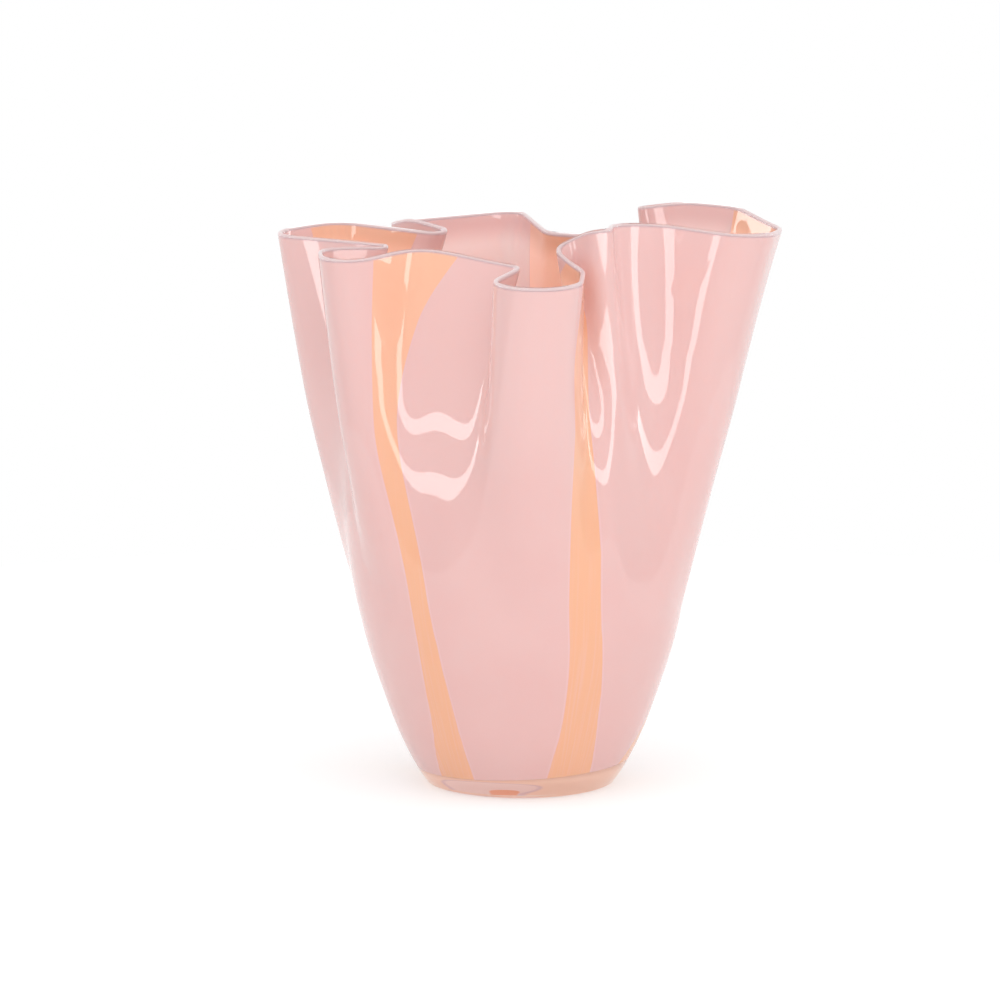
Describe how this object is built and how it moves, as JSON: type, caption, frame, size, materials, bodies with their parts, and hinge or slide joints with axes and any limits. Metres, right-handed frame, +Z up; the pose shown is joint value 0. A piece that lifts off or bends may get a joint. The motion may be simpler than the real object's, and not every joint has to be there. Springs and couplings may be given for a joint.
{
  "type": "vase",
  "caption": "Handkerchief vase in pink opal glass with peach stripes: a round foot and bowl that rise into a deeply ruffled, open rim, for holding cut flowers and water.",
  "frame": {"origin": "centre of the flat foot, on the surface that the vase stands on", "axes": "+Z up; -Y towards the viewer of the picture, where the narrow front lobe is; +X to the picture's right"},
  "size_m": [0.2282, 0.2241, 0.2616],
  "materials": {
    "vase": "fire-polished cased opal glass"
  },
  "bodies": {
    "root": {"vase": "vase"}
  },
  "joints": []
}
